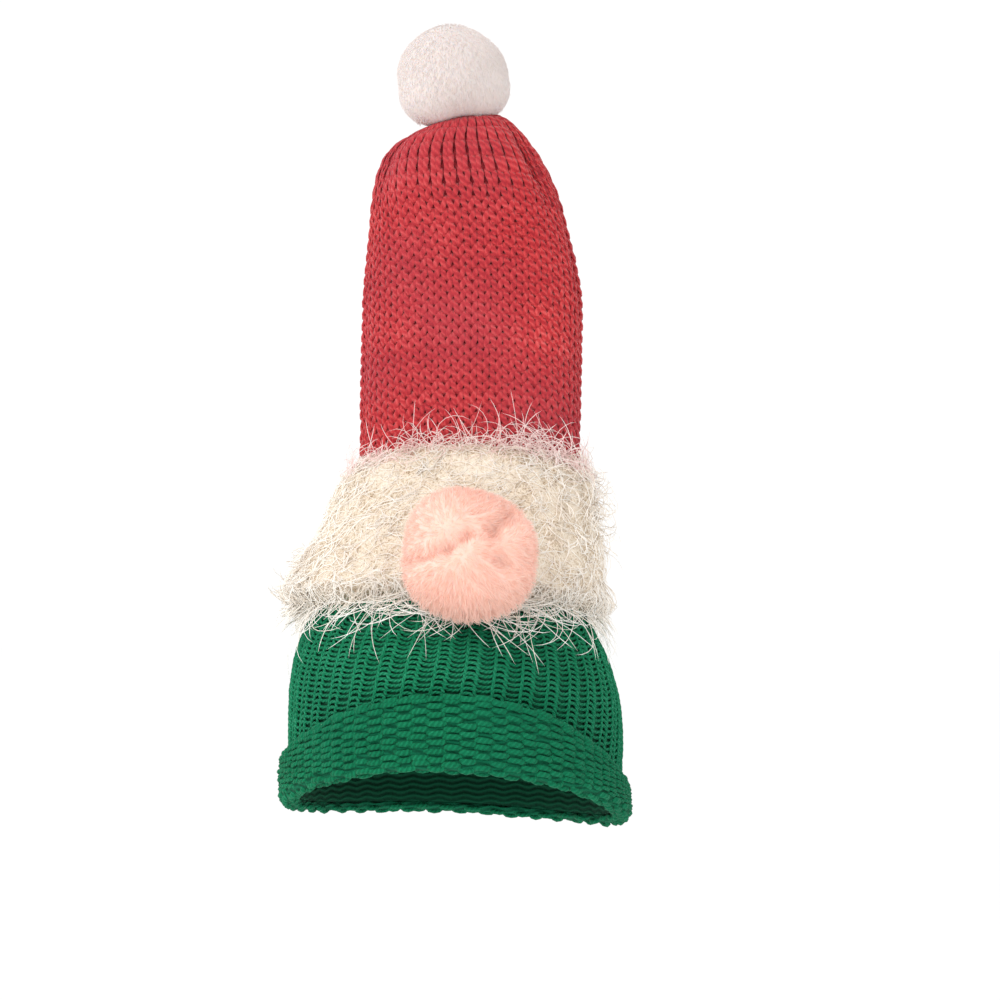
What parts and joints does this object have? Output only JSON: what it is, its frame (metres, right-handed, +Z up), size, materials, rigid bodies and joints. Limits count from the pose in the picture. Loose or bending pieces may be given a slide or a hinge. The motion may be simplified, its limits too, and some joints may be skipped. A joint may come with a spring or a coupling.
{
  "type": "knitted gnome hat",
  "caption": "Tall knitted gnome hat, red gathered crown, cream fur-yarn beard, round fur nose, green body with rolled brim and a fur pompom on top; held in its worn form.",
  "frame": {"origin": "middle of the head opening, in the plane of the rim's two sides, where the head enters", "axes": "+Z up through the gathered top, the nose pompom towards -Y, +X to the right of one who looks at the front"},
  "size_m": [0.201, 0.2411, 0.4449],
  "materials": {
    "red_yarn": "heathered bulky yarn in stocking stitch",
    "green_yarn": "bulky yarn, knitted and stretched",
    "cream_fur_yarn": "shaggy eyelash yarn with glossy strands",
    "white_faux_fur": "short dense faux fur",
    "pink_faux_fur": "short dense faux fur"
  },
  "bodies": {
    "root": {"red_crown": "red_yarn", "beard_band": "cream_fur_yarn", "beard_fur": "cream_fur_yarn", "green_body": "green_yarn", "rolled_brim": "green_yarn", "top_pompom": "white_faux_fur", "top_pompom_tie": "white_faux_fur", "nose_pompom": "pink_faux_fur", "nose_pompom_tie": "pink_faux_fur"}
  },
  "joints": []
}
